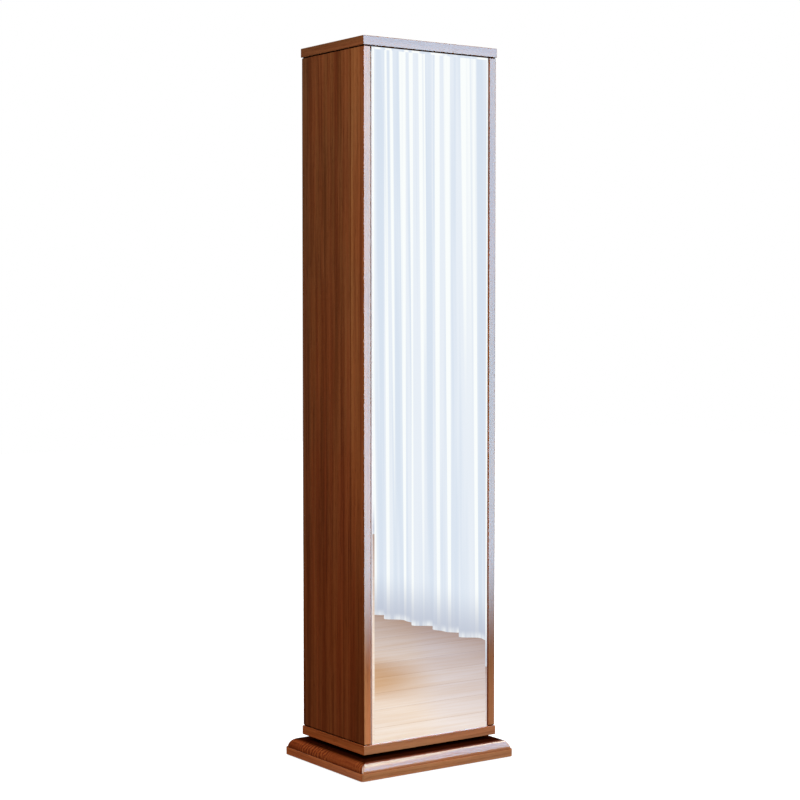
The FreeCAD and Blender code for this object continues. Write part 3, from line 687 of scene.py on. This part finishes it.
def floor_finish():
    """Pale floor: white to the camera with the cabinet's shadow kept, warm boards in reflections."""
    finish = Finish("floor_pale")
    path = finish.node("ShaderNodeLightPath").outputs
    x, y, _ = finish.split(finish.place)
    shown = finish.node("ShaderNodeAddShader")
    finish.feed(shown.inputs[0], finish.emit(grey(1.0), FLOOR_GLOW))
    finish.feed(shown.inputs[1], finish.matt(grey(FLOOR_SHADE)))
    ahead = reach_towards(finish, x, y, AHEAD)
    aside = reach_towards(finish, x, y, ASIDE)
    warm = finish.tint(finish.spread(aside, *COOL_ASIDE), planks(finish, x, y), COOL_TONE)
    # Painted reflection and light: a warm patch, and the floor seen in gloss dimming behind the cabinet.
    patch_aside = finish.product(finish.math("SUBTRACT", aside, WARM_PATCH_ASIDE), WARM_PATCH_STRETCH)
    patch_ahead = finish.math("SUBTRACT", ahead, WARM_PATCH_AHEAD)
    from_patch = finish.length(finish.join(patch_aside, patch_ahead, 0.0))
    warm = finish.tint(finish.spread(from_patch, *WARM_PATCH_REACH), warm, WARM_PATCH_TONE)
    seen_in_gloss = finish.emit(warm, finish.spread(ahead, *DARK_BEHIND))
    reflected = finish.math("MAXIMUM", path["Is Glossy Ray"], path["Is Transmission Ray"])
    direct = finish.blend(path["Is Camera Ray"], finish.matt(grey(FLOOR_BOUNCE)), shown.outputs["Shader"])
    finish.finish_with(finish.blend(reflected, direct, seen_in_gloss))
    return finish


def band(finish, along, z, name, least=0.0, most=1.0):
    """Share of one kind of light or shade on a drape, in bands that run down it."""
    per_metre, per_metre_up, seed, detail, starts, full = BANDS[name]
    place = finish.join(finish.product(along, per_metre), finish.product(z, per_metre_up), seed)
    return finish.spread(finish.noise(place, detail=detail, roughness=0.55), starts, full, least, most)


def drape_finish(name, level):
    """Plain hanging studio drape, seen only in reflections: uneven pale bands between soft shade."""
    finish = Finish(name)
    x, y, z = finish.split(finish.place)
    along = finish.math("MULTIPLY_ADD", z, DRAPE_SLANT, finish.math("ADD", x, y))
    shade = finish.choose(band(finish, along, z, "shade"), DRAPE_SHADE, DRAPE_HALF)
    light = finish.math("MAXIMUM", band(finish, along, z, "broad"), band(finish, along, z, "narrow"))
    colour = finish.choose(light, shade, DRAPE_LIGHT)
    crease = finish.product(band(finish, along, z, "crease"), CREASE_SHARE)
    colour = finish.choose(crease, colour, DRAPE_SHADE)
    off_middle = finish.absolute(finish.math("SUBTRACT", y, DRAPE_MIDDLE_Y))
    colour = finish.choose(finish.spread(off_middle, *DRAPE_PLAIN), colour, DRAPE_LIGHT)
    colour = finish.choose(finish.spread(z, *DRAPE_HEM), colour, DRAPE_HEM_SHADE)
    ruffle = band(finish, along, z, "ruffle", *RUFFLE_SHARE)
    colour = finish.choose(finish.product(ruffle, finish.spread(z, *RUFFLE_HEIGHT)), colour, DRAPE_LIGHT)
    finish.finish_with(finish.emit(colour, level))
    return finish


def folded_line(start, end):
    """Points of a drape's hem on the floor, in folds to both sides of the line from start to end."""
    start, end = Vector(start), Vector(end)
    run = end - start
    outward = Vector((-run.y, run.x)).normalized()
    steps = round(run.length / DRAPE_STEP)
    points = []
    for step in range(steps + 1):
        share = step / steps
        depth = sum(deep * math.sin(2 * math.pi * share * run.length / pitch) for deep, pitch in DRAPE_FOLDS)
        points.append(start + share * run + depth * outward)
    return points


def drape(name, start, end, level):
    """A drape of this brightness that only gloss and the mirror show."""
    line = folded_line(start, end)
    faces = [[(*here, 0.0), (*there, 0.0), (*there, DRAPE_TOP), (*here, DRAPE_TOP)]
             for here, there in zip(line, line[1:])]
    made = stage_mesh(name, faces, drape_finish(name, level))
    made.visible_camera = False
    made.visible_diffuse = False
    made.visible_shadow = False
    made.visible_volume_scatter = False


near_left, near_right = (DRAPE_LEFT_X, DRAPE_FRONT_Y), (DRAPE_RIGHT_X, DRAPE_FRONT_Y)
far_left, far_right = (DRAPE_LEFT_X, DRAPE_REAR_Y), (DRAPE_RIGHT_X, DRAPE_REAR_Y)
floor_corners = [(-FLOOR_REACH, -FLOOR_REACH, 0.0), (FLOOR_REACH, -FLOOR_REACH, 0.0),
                 (FLOOR_REACH, FLOOR_REACH, 0.0), (-FLOOR_REACH, FLOOR_REACH, 0.0)]
stage_mesh("floor", [floor_corners], floor_finish())
drape("drape_right", near_right, far_right, level=0.93)
drape("drape_front", near_left, near_right, level=0.75)
drape("drape_left", far_left, near_left, level=0.70)
drape("drape_rear", far_right, far_left, level=0.60)


# ---------------------------------------------------------------- lamps, sky and camera
def soft_lamp(name, place, aim, size, power):
    """A soft box that lights the cabinet and isn't seen in its gloss."""
    light = bpy.data.lights.new(name, "AREA")
    light.shape = "RECTANGLE"
    light.size, light.size_y = size
    light.energy = power
    made = bpy.data.objects.new(name, light)
    bpy.context.scene.collection.objects.link(made)
    made.location = place
    made.rotation_euler = (Vector(aim) - Vector(place)).to_track_quat("-Z", "Y").to_euler()
    made.visible_camera = False
    made.visible_glossy = False
    return made


def lamp_height(light):
    """Gives a lamp nodes, and the share of its height at each point as a socket."""
    light.use_nodes = True
    tree = light.node_tree
    split = tree.nodes.new("ShaderNodeSeparateXYZ")
    tree.links.new(tree.nodes.new("ShaderNodeNewGeometry").outputs["Parametric"], split.inputs["Vector"])
    return tree, split.outputs["Y"]


def fade_below(light, share):
    """Makes a lamp fade out towards its lower end, over this share of its height."""
    tree, height = lamp_height(light)
    fade = tree.nodes.new("ShaderNodeMapRange")
    fade.interpolation_type = "SMOOTHSTEP"
    fade.inputs["From Max"].default_value = share
    tree.links.new(height, fade.inputs["Value"])
    tree.links.new(fade.outputs["Result"], tree.nodes["Emission"].inputs["Strength"])


def crown(light):
    """Makes a lamp's upper end brighter and warmer, like the window's top."""
    tree, height = lamp_height(light)
    colour = tree.nodes.new("ShaderNodeValToRGB")
    lower, upper = colour.color_ramp.elements
    lower.position, lower.color = CROWN_STARTS, grey(1.0)
    upper.position, upper.color = CROWN_FULL, CROWN_TINT
    tree.links.new(height, colour.inputs["Fac"])
    tree.links.new(colour.outputs["Color"], tree.nodes["Emission"].inputs["Color"])


def window_sheen(name, place, aim, size, radiance, colour, lit):
    """Window light that shows only in the gloss of the named nodes."""
    power = radiance * math.pi * size[0] * size[1]
    made = soft_lamp(name, place, aim, size, power)
    made.data.color = colour
    made.visible_glossy = True
    made.visible_diffuse = False
    receivers = bpy.data.collections.new(name)
    for node in lit:
        receivers.objects.link(nodes[node])
    made.light_linking.receiver_collection = receivers
    return made.data


def near_sheen(name, y, width, bottom, top, radiance, lit):
    """Cool sheen from a sheet of light close in front of the carcass."""
    middle = (bottom + top) / 2
    size = (width, top - bottom)
    light = window_sheen(name, (0.0, y, middle), (0.0, 0.0, middle), size, radiance, COOL_WINDOW, lit)
    light.spread = NEAR_SPREAD
    return light


def far_sheen(name, start_y, end_y, radiance, colour, lit):
    """Sheen from a stretch of the window, in front of the drape that the mirror shows."""
    y, z = (start_y + end_y) / 2, (WINDOW_BOTTOM + WINDOW_TOP) / 2
    size = (end_y - start_y, WINDOW_TOP - WINDOW_BOTTOM)
    return window_sheen(name, (WINDOW_X, y, z), (0.0, y, z), size, radiance, colour, lit)


soft_lamp("key_softbox", place=(1.9, -2.6, 2.1), aim=(0.0, 0.0, 0.8), size=(2.2, 2.2), power=77.0)
soft_lamp("fill_softbox", place=(-1.9, -1.4, 2.2), aim=(0.0, 0.0, 1.1), size=(1.0, 1.0), power=29.0)
soft_lamp("rear_softbox", place=(0.8, 2.8, 2.2), aim=(0.0, 0.0, 0.8), size=(2.0, 2.0), power=65.0)
edge_sheen = near_sheen("edge_sheen", EDGE_LAMP_Y, EDGE_LAMP_WIDTH, EDGE_LAMP_BOTTOM, EDGE_LAMP_TOP,
                        radiance=19.9, lit=("side_panel_left", "side_panel_right"))
fade_below(edge_sheen, EDGE_LAMP_FADE)
near_sheen("top_sheen", TOP_LAMP_Y, TOP_LAMP_WIDTH, TOP_LAMP_BOTTOM, TOP_LAMP_TOP,
           radiance=19.1, lit=("top_board",))
moulding_sheen = far_sheen("moulding_sheen", WINDOW_NEAR_Y, WINDOW_END_Y, radiance=20.0,
                           colour=PALE_WINDOW, lit=("base_moulding", "bottom_board"))
crown(moulding_sheen)
far_sheen("moulding_glint", WINDOW_END_Y, GLINT_END_Y, radiance=25.0,
          colour=WARM_WINDOW, lit=("base_moulding",))


def studio_sky():
    """White to the camera and in reflections; a plain dome that lights the cabinet from above."""
    world = bpy.data.worlds.new("studio")
    bpy.context.scene.world = world
    world.use_nodes = True
    tree = world.node_tree
    path = tree.nodes.new("ShaderNodeLightPath").outputs
    split = tree.nodes.new("ShaderNodeSeparateXYZ")
    tree.links.new(tree.nodes.new("ShaderNodeTexCoord").outputs["Generated"], split.inputs["Vector"])
    dome = tree.nodes.new("ShaderNodeMapRange")
    dome.inputs["To Max"].default_value = SKY_LEVEL
    tree.links.new(split.outputs["Z"], dome.inputs["Value"])
    level = dome.outputs["Result"]
    for ray in ("Is Camera Ray", "Is Glossy Ray", "Is Transmission Ray"):
        choice = tree.nodes.new("ShaderNodeMath")
        choice.operation = "MAXIMUM"
        tree.links.new(level, choice.inputs[0])
        tree.links.new(path[ray], choice.inputs[1])
        level = choice.outputs["Value"]
    background = tree.nodes["Background"]
    background.inputs["Color"].default_value = (1.0, 1.0, 1.0, 1.0)
    tree.links.new(level, background.inputs["Strength"])


def photo_camera():
    """Stands where the fit to the photograph's corners put it."""
    data = bpy.data.cameras.new("photo_camera")
    data.lens = CAMERA_LENS
    camera = bpy.data.objects.new("photo_camera", data)
    bpy.context.scene.collection.objects.link(camera)
    camera.location = CAMERA_PLACE
    camera.rotation_euler = (math.pi / 2 - CAMERA_TILT_DOWN, 0.0, CAMERA_TURN)
    bpy.context.scene.camera = camera


studio_sky()
photo_camera()
bpy.context.scene.view_settings.view_transform = "Standard"
